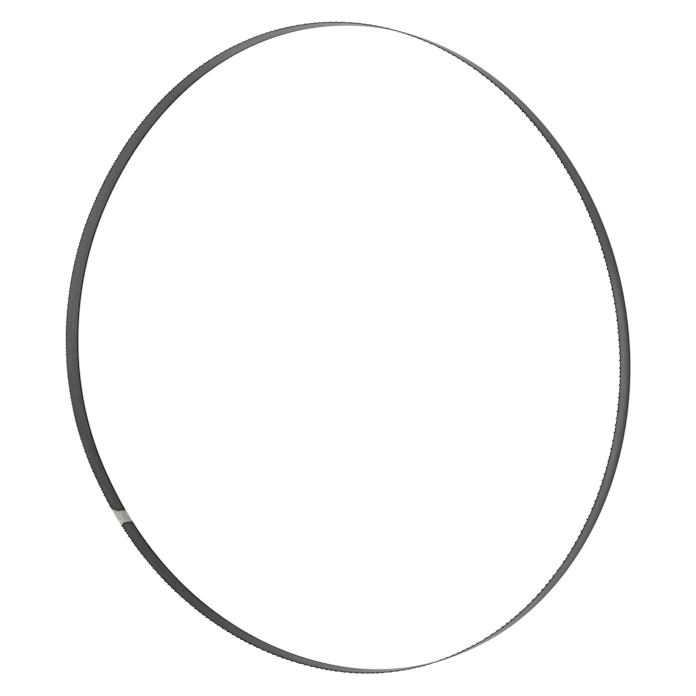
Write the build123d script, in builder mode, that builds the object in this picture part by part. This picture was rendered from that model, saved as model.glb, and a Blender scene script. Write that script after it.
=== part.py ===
from build123d import *
import os
from math import atan, cos, degrees, pi, radians, sin, tan

# Band saw blade: one strip of steel on edge, welded end to end into a loop, with the teeth up.
# Origin at the middle of the loop, on the plane of its back edge. Millimetres and degrees.

# Band
loop_length = 1335.0
band_width = 13.0
band_thickness = 0.65

# Shape of the loop as it springs open. The bend radius swells and shrinks round the loop:
# each share of the mean radius comes twice, three or four times a turn, widest at its bearing.
oval_share = 0.136
oval_bearing = -14.0
egg_share = 0.086
egg_bearing = 40.0
corner_share = 0.058
corner_bearing = -35.5
arc_count = 12

# Teeth: the pitch runs from coarse to fine and back once in a cycle, which starts with an
# unset tooth, and the others lean out and in by turns from the floor of the gullets up.
# Each tooth stands a hair inside both faces of the band.
coarse_pitch = 2.4
fine_pitch = 1.85
teeth_per_cycle = 17
coarsest_tooth = 2.5
gullet_depth = 1.1
gullet_corner = 0.25
back_angle = 38.0
set_each_side = 0.3
tooth_inset = 0.015

mean_radius = loop_length / (2 * pi)
arc_turn = 2 * pi / arc_count
gullet_floor = band_width - gullet_depth
back_length = gullet_depth / tan(radians(back_angle))
tooth_thickness = band_thickness - 2 * tooth_inset
lean_angle = atan(set_each_side / gullet_depth)

mean_pitch = (coarse_pitch + fine_pitch) / 2
cycles = round(loop_length / (teeth_per_cycle * mean_pitch))
cycle_length = loop_length / cycles


def bend_radius(angle):
    """Radius of the middle line of the band where it faces the angle."""
    oval = oval_share * cos(2 * (angle - radians(oval_bearing)))
    egg = egg_share * cos(3 * (angle - radians(egg_bearing)))
    corner = corner_share * cos(4 * (angle - radians(corner_bearing)))
    return mean_radius * (1 + oval + egg + corner)


def facing(angle):
    """Unit vector across the band, away from the inside of the loop."""
    return Vector(cos(angle), sin(angle))


def loop_arcs():
    """Centre, radius and start angle of tangent arcs that close into the loop, centred on the origin."""
    arcs = []
    joint = Vector(0, 0)
    joints = [joint]
    for i in range(arc_count):
        start = i * arc_turn
        radius = bend_radius(start + arc_turn / 2)
        centre = joint - facing(start) * radius
        joint = centre + facing(start + arc_turn) * radius
        arcs.append((centre, radius, start))
        joints.append(joint)
    quarter = arc_count // 4
    middle_x = (joints[0].X + joints[2 * quarter].X) / 2
    middle_y = (joints[quarter].Y + joints[3 * quarter].Y) / 2
    middle = Vector(middle_x, middle_y)
    return [(centre - middle, radius, start) for centre, radius, start in arcs]


arcs = loop_arcs()


def band_plane(station):
    """Plane at a length along the middle line: x along the band, y up, z out of the loop."""
    length = station % loop_length
    for centre, radius, start in arcs:
        if length <= radius * arc_turn:
            break
        length -= radius * arc_turn
    angle = start + length / radius
    along = (-sin(angle), cos(angle), 0)
    return Plane(origin=centre + facing(angle) * radius, x_dir=along, z_dir=facing(angle))


def tooth_stations():
    """Where the teeth of one cycle have their tips, along the band from the start of the cycle."""
    stations = [0.0]
    for i in range(teeth_per_cycle):
        swing = cos(2 * pi * (i - coarsest_tooth) / teeth_per_cycle)
        stations.append(stations[-1] + mean_pitch + (coarse_pitch - fine_pitch) / 2 * swing)
    return [station * cycle_length / stations[-1] for station in stations[:-1]]


def tooth(side):
    """A tooth on the band_plane of its tip that leans out of the loop (1), into it (-1) or neither (0)."""
    lean = side * lean_angle
    stretch = 1 / cos(lean)
    flank = Plane(
        origin=(0, gullet_floor, -tooth_thickness / 2),
        x_dir=(1, 0, 0),
        z_dir=(0, -sin(lean), cos(lean)),
    )
    with BuildPart() as single:
        with BuildSketch(flank):
            with BuildLine():
                Polyline(
                    (-gullet_corner, 0),
                    (0, gullet_corner * stretch),
                    (0, gullet_depth * stretch),
                    (back_length, 0),
                    close=True,
                )
            make_face()
        extrude(amount=tooth_thickness, dir=(0, 0, 1))
    return single.part


teeth = {side: tooth(side) for side in (0, 1, -1)}
places = {side: [] for side in teeth}
for cycle in range(cycles):
    for i, station in enumerate(tooth_stations()):
        side = 0 if i == 0 else (-1) ** (i + 1)
        places[side].append(band_plane(cycle * cycle_length + station).location)

with BuildPart() as blade:
    with BuildSketch():
        with BuildLine():
            for centre, radius, start in arcs:
                CenterArc(centre, radius + band_thickness / 2, degrees(start), degrees(arc_turn))
        make_face()
        with BuildLine():
            for centre, radius, start in arcs:
                CenterArc(centre, radius - band_thickness / 2, degrees(start), degrees(arc_turn))
        make_face(mode=Mode.SUBTRACT)
    extrude(amount=gullet_floor)
    for side, single in teeth.items():
        with Locations(*places[side]):
            add(single, clean=False)

blade.part.label = "blade"

os.makedirs("parts", exist_ok=True)
export_step(blade.part, "parts/blade.step")
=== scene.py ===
import math

import bpy
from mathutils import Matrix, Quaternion, Vector


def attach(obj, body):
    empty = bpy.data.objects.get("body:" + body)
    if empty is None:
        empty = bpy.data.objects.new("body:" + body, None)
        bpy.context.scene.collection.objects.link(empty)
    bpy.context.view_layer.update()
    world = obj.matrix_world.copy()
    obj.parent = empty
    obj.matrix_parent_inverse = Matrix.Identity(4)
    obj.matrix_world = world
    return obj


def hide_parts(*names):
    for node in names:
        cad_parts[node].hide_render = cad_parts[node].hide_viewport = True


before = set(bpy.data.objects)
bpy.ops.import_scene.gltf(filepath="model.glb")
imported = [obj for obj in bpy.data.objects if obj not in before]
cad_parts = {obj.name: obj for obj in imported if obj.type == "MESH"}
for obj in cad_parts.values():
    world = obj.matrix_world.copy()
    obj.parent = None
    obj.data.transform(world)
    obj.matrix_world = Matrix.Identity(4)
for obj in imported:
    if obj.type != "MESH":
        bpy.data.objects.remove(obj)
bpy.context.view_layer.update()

scene = bpy.context.scene


# Camera: it looks down on the loop from the near side, turned a quarter turn on its side, so
# that the far run of the band stands at the left of the picture and the near run at the right.
camera = bpy.data.objects.new("camera", bpy.data.cameras.new("camera"))
scene.collection.objects.link(camera)
scene.camera = camera
camera.data.sensor_width = 36
camera.data.lens = 81.84
camera.data.clip_start = 0.05
camera.location = (0.0067, -0.6250, 0.8045)
aim = Vector((-0.0014, -0.0238, 0))
roll = Quaternion((0, 0, 1), math.radians(-90.96))
camera.rotation_mode = "QUATERNION"
camera.rotation_quaternion = (aim - camera.location).to_track_quat("-Z", "Y") @ roll


# Studio: a white tabletop lit from below, in a white room, with one wide softbox overhead. The
# steel is seen by what it mirrors, which is mostly the table in front of it.
scene.view_settings.view_transform = "Standard"
room = bpy.data.worlds.new("white room")
room.use_nodes = True
room_light = room.node_tree.nodes["Background"]
room_light.inputs["Color"].default_value = (1, 1, 1, 1)
room_light.inputs["Strength"].default_value = 1.45
scene.world = room

softbox = bpy.data.objects.new("softbox", bpy.data.lights.new("softbox", "AREA"))
softbox.data.shape = "RECTANGLE"
softbox.data.size = 3.0
softbox.data.size_y = 3.0
softbox.data.energy = 16
softbox.location = (0.1, -0.2, 2.0)
softbox.rotation_mode = "QUATERNION"
softbox.rotation_quaternion = (-softbox.location).to_track_quat("-Z", "Y")
scene.collection.objects.link(softbox)

reach = 9
corners = [(-reach, -reach, 0), (reach, -reach, 0), (reach, reach, 0), (-reach, reach, 0)]
floor_mesh = bpy.data.meshes.new("floor")
floor_mesh.from_pydata(corners, [], [(0, 1, 2, 3)])
floor = bpy.data.objects.new("floor", floor_mesh)
scene.collection.objects.link(floor)
tabletop = bpy.data.materials.new("lit tabletop")
tabletop.use_nodes = True
diffuser = tabletop.node_tree.nodes["Principled BSDF"]
diffuser.inputs["Base Color"].default_value = (0.4, 0.4, 0.4, 1)
diffuser.inputs["Emission Color"].default_value = (1, 1, 1, 1)
diffuser.inputs["Emission Strength"].default_value = 0.65
diffuser.inputs["Roughness"].default_value = 0.9
diffuser.inputs["Specular IOR Level"].default_value = 0.1
floor_mesh.materials.append(tabletop)


# Blade: strip steel with teeth milled along one edge and bent out and in by turns, hardened
# and tempered, its two ends butt welded into a loop and ground flush. First comes the line of
# the loop, then one run of teeth, then the finish, and last all of it is put together.
loop_length = 1.335
band_width = 0.013
half_thickness = 0.65e-3 / 2
back_rounding = 0.12e-3

# Line of the loop: the middle of the band as it springs open on the bench, in twelve arcs that
# run into each other. It isn't quite round, so the bend radius swells and shrinks.
oval_share, oval_bearing = 0.136, math.radians(-14)
egg_share, egg_bearing = 0.086, math.radians(40)
corner_share, corner_bearing = 0.058, math.radians(-35.5)
mean_radius = loop_length / (2 * math.pi)
arc_count = 12
quarter = arc_count // 4
arc_turn = 2 * math.pi / arc_count


def bend_radius(facing):
    """Radius of the line where it faces this way out of the loop."""
    oval = oval_share * math.cos(2 * (facing - oval_bearing))
    egg = egg_share * math.cos(3 * (facing - egg_bearing))
    corner = corner_share * math.cos(4 * (facing - corner_bearing))
    return mean_radius * (1 + oval + egg + corner)


def outward(facing):
    return Vector((math.cos(facing), math.sin(facing), 0))


radii = [bend_radius((arc + 0.5) * arc_turn) for arc in range(arc_count)]
ends = [Vector((0, 0, 0))]
for arc, radius in enumerate(radii):
    ends.append(ends[-1] + radius * (outward((arc + 1) * arc_turn) - outward(arc * arc_turn)))
middle_x = (ends[0].x + ends[2 * quarter].x) / 2
middle_y = (ends[quarter].y + ends[3 * quarter].y) / 2
middle = Vector((middle_x, middle_y, 0))

line = bpy.data.curves.new("line of the loop", "CURVE")
line.dimensions = "3D"
line.resolution_u = 64
run = line.splines.new("BEZIER")
run.bezier_points.add(arc_count - 1)
run.use_cyclic_u = True
handle_share = 4 / 3 * math.tan(arc_turn / 4)  # of the radius: it makes the run follow an arc
for arc, point in enumerate(run.bezier_points):
    ahead = outward(arc * arc_turn + math.pi / 2)
    point.co = ends[arc] - middle
    point.handle_left_type = "FREE"
    point.handle_right_type = "FREE"
    point.handle_left = point.co - ahead * handle_share * radii[arc - 1]
    point.handle_right = point.co + ahead * handle_share * radii[arc]
loop_line = bpy.data.objects.new("line of the loop", line)
scene.collection.objects.link(loop_line)

# One run of teeth, from coarse to fine and back. It is made flat, as sections across the strip,
# and the same run is repeated all round the loop. The first tooth of a run isn't bent aside.
gullet_depth = 1.1e-3
gullet_radius = 0.25e-3
gullet_floor = band_width - gullet_depth
back_slope = math.radians(38)
foot_sweep = 0.11e-3
set_each_side = 0.3e-3
set_from = 0.1e-3
rows_under_gullets = (0.6e-3, 0.1e-3)
teeth_per_cycle = 17
coarsest_tooth = 2.5
mean_pitch = 2.125e-3
pitch_swing = 0.275e-3
cycles = 37
cycle_length = loop_length / cycles

tips = [0.0]
for tooth in range(teeth_per_cycle):
    swing = math.cos(2 * math.pi * (tooth - coarsest_tooth) / teeth_per_cycle)
    tips.append(tips[-1] + mean_pitch + pitch_swing * swing)
tips = [tip * cycle_length / tips[-1] for tip in tips]


def tooth_outline(pitch):
    """From a tip down its back, through the gullet and up the face of the next tooth."""
    heel = gullet_depth / math.tan(back_slope)
    outline = [(0, gullet_depth)]
    for share in (0.4, 0.75):
        outline.append((heel * share, gullet_depth * (1 - share)))
    outline += [
        (heel - foot_sweep * math.cos(back_slope), foot_sweep * math.sin(back_slope)),
        (heel + foot_sweep * 0.04, foot_sweep * 0.16),
        (heel + foot_sweep, 0),
    ]
    for step in range(5):
        turn = step * math.pi / 8
        outline.append((
            pitch - gullet_radius + gullet_radius * math.sin(turn),
            gullet_radius - gullet_radius * math.cos(turn),
        ))
    return outline


own_points = 6  # of an outline: they lean with its own tooth, the others with the next one


def lean_of(tooth):
    """Which way a tooth is bent: out (1), in (-1) or neither (0)."""
    return 0 if tooth % teeth_per_cycle == 0 else (-1) ** (tooth + 1)


def across_the_band(root, x, height, lean):
    """One section: up the outer face, over the toothed edge and down the inner face."""
    corner = back_rounding * (1 - math.sqrt(0.5))
    aside = lean * set_each_side * max(0, height - set_from) / (gullet_depth - set_from)
    outer = [
        (root, half_thickness - back_rounding, 0),
        (root, half_thickness - corner, corner),
        (root, half_thickness, back_rounding),
    ]
    outer += [(root, half_thickness, gullet_floor - below) for below in rows_under_gullets]
    inner = [(along, -y, z) for along, y, z in reversed(outer)]
    top = gullet_floor + height
    return outer + [(x, aside + side * half_thickness, top) for side in (1, -1)] + inner


sections = []
for tooth in range(teeth_per_cycle):
    pitch = tips[tooth + 1] - tips[tooth]
    outline = tooth_outline(pitch)
    for place, (x, height) in enumerate(outline):
        root = tips[tooth] + pitch * place / len(outline)
        lean = lean_of(tooth if place < own_points else tooth + 1)
        sections.append(across_the_band(root, tips[tooth] + x, height, lean))
sections.append(across_the_band(cycle_length, cycle_length, gullet_depth, 0))

points_round = len(sections[0])
quads = []
outer_faces = []
for section in range(len(sections) - 1):
    for point in range(points_round):
        a = section * points_round + point
        b = section * points_round + (point + 1) % points_round
        quads.append((a, a + points_round, b + points_round, b))
        outer_faces.append(1.0 if point < points_round // 2 - 1 else 0.0)

cycle_mesh = bpy.data.meshes.new("one run of teeth")
cycle_mesh.from_pydata([place for section in sections for place in section], [], quads)
outer_mark = cycle_mesh.attributes.new("outer", "FLOAT", "FACE")
outer_mark.data.foreach_set("value", outer_faces)
toothed_strip = bpy.data.objects.new("one run of teeth", cycle_mesh)
scene.collection.objects.link(toothed_strip)

# Finish of the steel: dark grey from the furnace and a little mottled, rolled and scuffed
# lengthwise, darker at the back edge, partly as painted contact shadow, and on the teeth, with
# painted sheen and shade in stretches, and ground bright at the weld. It is painted in
# millimetres along the strip from the weld and up from its back edge.
steel = bpy.data.materials.new("hardened band steel")
steel.use_nodes = True
shop = steel.node_tree
polish = shop.nodes["Principled BSDF"]


def tone(red, green, blue):
    """A colour as seen, from 0 to 255, as the light it sends back."""
    return tuple(((part / 255 + 0.055) / 1.055) ** 2.4 for part in (red, green, blue)) + (1,)


def grey(share):
    """A grey that sends back this share of the light."""
    return (share, share, share, 1)


def feed(socket, value):
    if isinstance(value, bpy.types.NodeSocket):
        shop.links.new(value, socket)
    else:
        socket.default_value = value


def work_out(operation, *values):
    node = shop.nodes.new("ShaderNodeMath")
    node.operation = operation
    for socket, value in zip(node.inputs, values):
        feed(socket, value)
    return node.outputs["Value"]


def times(value, factor):
    return work_out("MULTIPLY", value, factor)


def scaled(value, factor, start):
    """The value times the factor, added to the start."""
    return work_out("MULTIPLY_ADD", value, factor, start)


def opposite_of(share):
    return work_out("SUBTRACT", 1.0, share)


def rise(value, low, high):
    """From 0 at low to 1 at high, easing in and out."""
    node = shop.nodes.new("ShaderNodeMapRange")
    node.interpolation_type = "SMOOTHSTEP"
    for name, setting in (("Value", value), ("From Min", low), ("From Max", high)):
        feed(node.inputs[name], setting)
    return node.outputs["Result"]


def grain(x, y, layer, detail=3.0, rough=0.55):
    """Cloudy noise from 0 to 1, one cloud to each unit of x and y, and others on each layer."""
    place = shop.nodes.new("ShaderNodeCombineXYZ")
    for socket, value in zip(place.inputs, (x, y, layer)):
        feed(socket, value)
    node = shop.nodes.new("ShaderNodeTexNoise")
    feed(node.inputs["Vector"], place.outputs["Vector"])
    feed(node.inputs["Scale"], 1.0)
    feed(node.inputs["Detail"], detail)
    feed(node.inputs["Roughness"], rough)
    return node.outputs["Fac"]


def paint(amount, under, over):
    """One colour laid over another. A Mix node has its colours at 6 and 7, its numbers at 2 and 3."""
    node = shop.nodes.new("ShaderNodeMix")
    node.data_type = "RGBA"
    feed(node.inputs[0], amount)
    feed(node.inputs[6], under)
    feed(node.inputs[7], over)
    return node.outputs[2]


def wash(under, pattern, low, high, strength, over):
    """Paint laid on where the pattern goes from low to high, and at this strength at most."""
    return paint(times(rise(pattern, low, high), strength), under, over)


strip_map = shop.nodes.new("ShaderNodeUVMap")
strip_map.uv_map = "strip"
strip_place = shop.nodes.new("ShaderNodeSeparateXYZ")
shop.links.new(strip_map.outputs["UV"], strip_place.inputs["Vector"])
outer_side = shop.nodes.new("ShaderNodeAttribute")
outer_side.attribute_name = "outer"
outer = outer_side.outputs["Fac"]
along = times(strip_place.outputs["X"], 1000.0)
up = times(strip_place.outputs["Y"], 1000.0)
half_loop = loop_length * 1000 / 2
from_weld = work_out("WRAP", along, half_loop, -half_loop)
each_face = times(outer, 40.0)
both_faces = 7.3


def strip_grain(per_mm_along, per_mm_up, layer=each_face, detail=3.0, rough=0.55):
    """Noise on the strip, with so many clouds to a millimetre along it and up it."""
    return grain(times(along, per_mm_along), times(up, per_mm_up), layer, detail, rough)


# Mottling from the furnace in long soft clouds. The inner face is darker for a hand's breadth
# round the weld. Across the loop from it the outer face is darkened by painted shade, most
# towards the teeth. The outer face is darker towards the back edge, with a soft, wavy border.
clouds = strip_grain(0.045, 0.22)
inside = paint(clouds, tone(80, 81, 81), tone(98, 99, 99))
from_dark = work_out("ABSOLUTE", work_out("ADD", from_weld, -8.0))
inside = paint(opposite_of(rise(from_dark, 60, 200)), inside, tone(64, 65, 65))

outside = paint(clouds, tone(102, 103, 102), tone(124, 125, 124))
wavy_up = work_out("ADD", up, scaled(clouds, 2.4, -1.2))
outside = paint(rise(wavy_up, 2.6, 7.4), tone(76, 78, 77), outside)
# Painted shade on the outer face across the loop from the weld, strongest towards the teeth.
painted_shade_stretch = rise(work_out("ABSOLUTE", from_weld), 540, 610)
painted_shade_amount = times(painted_shade_stretch, scaled(rise(up, 2.0, 8.0), 0.35, 0.3))
outside = paint(painted_shade_amount, outside, tone(62, 63, 62))
body = paint(outer, inside, outside)

# A third of the way round from the weld a painted sheen lightens the steel, most of all near its back
# edge.
painted_sheen_stretch = times(rise(from_weld, -340, -430), rise(from_weld, -550, -490))
painted_sheen_amount = times(painted_sheen_stretch, scaled(rise(up, 7.5, 2.5), 0.25, 0.72))
body = paint(painted_sheen_amount, body, tone(152, 152, 147))

# A faint green and brown cast that comes and goes, streaks and fine lines left by the rolls,
# and specks of scale.
cast = strip_grain(0.03, 0.1, both_faces, 2.0)
streaks = strip_grain(0.03, 1.1, detail=2.0)
specks = strip_grain(0.45, 1.0, detail=5.0, rough=0.7)
roll_lines = strip_grain(0.05, 9.0, detail=4.0, rough=0.7)
body = wash(body, cast, 0.42, 0.7, 0.3, tone(78, 88, 86))
body = wash(body, cast, 0.58, 0.3, 0.15, tone(92, 89, 85))
body = wash(body, streaks, 0.5, 0.72, 0.4, tone(116, 117, 116))
body = wash(body, specks, 0.46, 0.74, 0.5, tone(50, 51, 50))
body = wash(body, specks, 0.52, 0.28, 0.4, tone(120, 121, 120))
body = wash(body, roll_lines, 0.52, 0.75, 0.2, tone(108, 110, 110))

# The back edge and the teeth are darker than the faces, and stay dark when seen along the
# strip. The dark at the back edge is partly the edge's own and partly painted contact shadow.
# Below the gullets the faces are spotted by the milling.
back_line = scaled(outer, 0.5, 1.2)
back_dark_and_contact_shadow = rise(up, work_out("ADD", back_line, 0.8), back_line)
tooth_line = scaled(outer, 0.35, 11.45)
at_teeth = rise(up, tooth_line, work_out("ADD", tooth_line, 0.4))
# Inside the painted sheen the teeth are painted less dark.
at_teeth = times(at_teeth, scaled(painted_sheen_stretch, -0.5, 1.0))
spots = strip_grain(0.5, 0.45, detail=2.0, rough=0.7)
spotted = times(rise(up, 9.6, 11.6), rise(spots, 0.5, 0.64))
edges = work_out("MAXIMUM", times(spotted, 0.2), work_out("MAXIMUM", back_dark_and_contact_shadow, at_teeth))

# The weld is ground flat on both faces, with slanting, ragged ends. A dark line of scale runs
# along both ends, and the steel is browned beside them, further on one side.
ragged = scaled(grain(times(up, 0.7), 3.0, each_face), 1.6, -0.8)
half_weld = scaled(rise(up, 8.0, 13.0), 2.2, 4.9)
past_end = work_out("SUBTRACT", work_out("ABSOLUTE", work_out("ADD", from_weld, ragged)), half_weld)
ground = opposite_of(rise(past_end, -0.35, 0.25))
brown_to = scaled(work_out("LESS_THAN", from_weld, 0.0), 6.0, 3.0)
body = wash(body, past_end, brown_to, 0.5, 0.75, tone(66, 66, 55))
scale_line = times(rise(past_end, -0.2, 0.2), rise(past_end, 1.7, 0.8))
body = paint(times(scale_line, 0.7), body, tone(28, 28, 26))

# The back edge takes a dark tone that is partly painted contact shadow, the teeth an even darker one.
upper_half = rise(up, 6.0, 7.0)
back_tone = paint(outer, tone(34, 35, 35), tone(60, 61, 61))
body = paint(edges, body, paint(upper_half, back_tone, tone(30, 31, 31)))

# The ground steel is bright, scratched lengthwise, pitted and yellower in its lower half.
scratches = strip_grain(0.25, 14.0, detail=3.0, rough=0.7)
grinding = strip_grain(0.4, 1.5, detail=5.0, rough=0.65)
bright = paint(scratches, tone(148, 148, 145), tone(178, 178, 175))
bright = wash(bright, up, 7.5, 6.0, 0.7, tone(146, 147, 134))
bright = wash(bright, grinding, 0.46, 0.7, 0.7, tone(108, 108, 102))
bright = wash(bright, grinding, 0.5, 0.3, 0.7, tone(210, 210, 205))
shop.links.new(paint(ground, body, bright), polish.inputs["Base Color"])

# The dull edges mirror less light along the strip than the faces do. The ground weld is rougher
# than either, most of all where it is scratched.
back_shine = paint(outer, grey(0.12), grey(0.42))
edge_shine = paint(upper_half, back_shine, grey(0.12))
dull = times(edges, opposite_of(ground))
shine = paint(dull, grey(0.52), edge_shine)
shop.links.new(shine, polish.inputs["Specular Tint"])

rough = shop.nodes.new("ShaderNodeMix")
feed(rough.inputs[0], ground)
feed(rough.inputs[2], scaled(clouds, 0.1, 0.2))
feed(rough.inputs[3], scaled(scratches, 0.2, 0.26))
shop.links.new(rough.outputs[0], polish.inputs["Roughness"])
polish.inputs["Metallic"].default_value = 1.0

relief = shop.nodes.new("ShaderNodeBump")
relief.inputs["Distance"].default_value = 0.00001
relief.inputs["Strength"].default_value = 0.35
feed(relief.inputs["Height"], work_out("ADD", roll_lines, times(scratches, ground)))
shop.links.new(relief.outputs["Normal"], polish.inputs["Normal"])

# Bending: the run of teeth is laid end to end, bent round the line of the loop and closed into
# one piece. The map named strip follows the steel from weld to weld and from back to tip.
weld_place = 0.4643
touching = 2e-6
sharp_turn = math.radians(50)
bending = bpy.data.node_groups.new("band bent into a loop", "GeometryNodeTree")
bending.is_modifier = True
panel = bending.interface
panel.new_socket("Geometry", in_out="OUTPUT", socket_type="NodeSocketGeometry")
panel.new_socket("Geometry", in_out="INPUT", socket_type="NodeSocketGeometry")
settings = {
    "Line of the loop": ("NodeSocketObject", loop_line),
    "Runs of teeth": ("NodeSocketInt", cycles),
    "Length of a run": ("NodeSocketFloat", cycle_length),
    "Place of the weld": ("NodeSocketFloat", weld_place),
    "Steel": ("NodeSocketMaterial", steel),
}
sockets = {
    name: panel.new_socket(name, in_out="INPUT", socket_type=kind)
    for name, (kind, value) in settings.items()
}
given = bending.nodes.new("NodeGroupInput")
made = bending.nodes.new("NodeGroupOutput")


def join(kind, traits=None, **feeds):
    """Adds a node to the bending tree, and feeds its inputs by name, or by number as in _0."""
    node = bending.nodes.new(kind)
    for name, value in (traits or {}).items():
        setattr(node, name, value)
    for name, value in feeds.items():
        numbered = name[0] == "_" and name[1:].isdigit()
        socket = node.inputs[int(name[1:]) if numbered else name.replace("_", " ")]
        if isinstance(value, bpy.types.NodeSocket):
            bending.links.new(value, socket)
        else:
            socket.default_value = value
    return node


def reckon(operation, *values):
    feeds = {f"_{place}": value for place, value in enumerate(values)}
    return join("ShaderNodeMath", {"operation": operation}, **feeds).outputs[0]


def vector(operation, **feeds):
    return join("ShaderNodeVectorMath", {"operation": operation}, **feeds).outputs[0]


step = join("ShaderNodeCombineXYZ", X=given.outputs["Length of a run"])
places = join("GeometryNodeMeshLine", Count=given.outputs["Runs of teeth"], Offset=step.outputs[0])
laid = join(
    "GeometryNodeInstanceOnPoints",
    Points=places.outputs["Mesh"],
    Instance=given.outputs["Geometry"],
)
strip = join("GeometryNodeRealizeInstances", Geometry=laid.outputs["Instances"])
strip = join("GeometryNodeMergeByDistance", Geometry=strip.outputs[0], Distance=touching)

# How far along, across and up each point of the flat strip lies, and its place on the map.
flat = join("ShaderNodeSeparateXYZ", Vector=join("GeometryNodeInputPosition").outputs[0])
full = reckon("MULTIPLY", given.outputs["Runs of teeth"], given.outputs["Length of a run"])
face_middle = join(
    "GeometryNodeFieldOnDomain",
    {"domain": "FACE", "data_type": "FLOAT"},
    _0=flat.outputs["X"],
)
before_weld = reckon("LESS_THAN", face_middle.outputs[0], given.outputs["Place of the weld"])
past_weld = reckon("SUBTRACT", flat.outputs["X"], given.outputs["Place of the weld"])
round_place = reckon("MULTIPLY_ADD", before_weld, full, past_weld)
map_point = join("ShaderNodeCombineXYZ", X=round_place, Y=flat.outputs["Z"])
mapped = join(
    "GeometryNodeStoreNamedAttribute",
    {"data_type": "FLOAT2", "domain": "CORNER"},
    Geometry=strip.outputs[0],
    Name="strip",
    Value=map_point.outputs[0],
)

# Along becomes the way round the line, and across becomes the way out of the loop.
route = join("GeometryNodeObjectInfo", Object=given.outputs["Line of the loop"])
spot = join(
    "GeometryNodeSampleCurve",
    {"mode": "FACTOR", "use_all_curves": True},
    Curves=route.outputs["Geometry"],
    Factor=reckon("DIVIDE", flat.outputs["X"], full),
)
out = vector("CROSS_PRODUCT", _0=spot.outputs["Tangent"], _1=(0, 0, 1))
sideways = vector("SCALE", _0=out, Scale=flat.outputs["Y"])
upright = join("ShaderNodeCombineXYZ", Z=flat.outputs["Z"])
lifted = vector("ADD", _0=sideways, _1=upright.outputs[0])
placed = vector("ADD", _0=spot.outputs["Position"], _1=lifted)
bent = join("GeometryNodeSetPosition", Geometry=mapped.outputs[0], Position=placed)
closed = join("GeometryNodeMergeByDistance", Geometry=bent.outputs[0], Distance=touching)

# Faces are shaded smooth, and edges that turn sharply stay sharp.
smooth = join(
    "GeometryNodeSetShadeSmooth",
    {"domain": "FACE"},
    Geometry=closed.outputs[0],
    Shade_Smooth=True,
)
turn = join("GeometryNodeInputMeshEdgeAngle").outputs["Unsigned Angle"]
keen = join(
    "GeometryNodeSetShadeSmooth",
    {"domain": "EDGE"},
    Geometry=smooth.outputs[0],
    Selection=reckon("GREATER_THAN", turn, sharp_turn),
    Shade_Smooth=False,
)
finished = join(
    "GeometryNodeSetMaterial",
    Geometry=keen.outputs[0],
    Material=given.outputs["Steel"],
)
bending.links.new(finished.outputs[0], made.inputs[0])

bender = toothed_strip.modifiers.new("bent into a loop", "NODES")
bender.node_group = bending
for name, (kind, value) in settings.items():
    bender[sockets[name].identifier] = value

view_layer = bpy.context.view_layer
view_layer.update()
evaluated = toothed_strip.evaluated_get(bpy.context.evaluated_depsgraph_get())
blade_mesh = bpy.data.meshes.new_from_object(evaluated)
blade_mesh.name = "toothed_band"
toothed_strip.modifiers.remove(bender)
blade = bpy.data.objects.new("toothed_band", blade_mesh)
scene.collection.objects.link(blade)
bpy.data.objects.remove(toothed_strip)
bpy.data.objects.remove(loop_line)
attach(blade, "root")
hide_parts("blade")


view_layer.update()
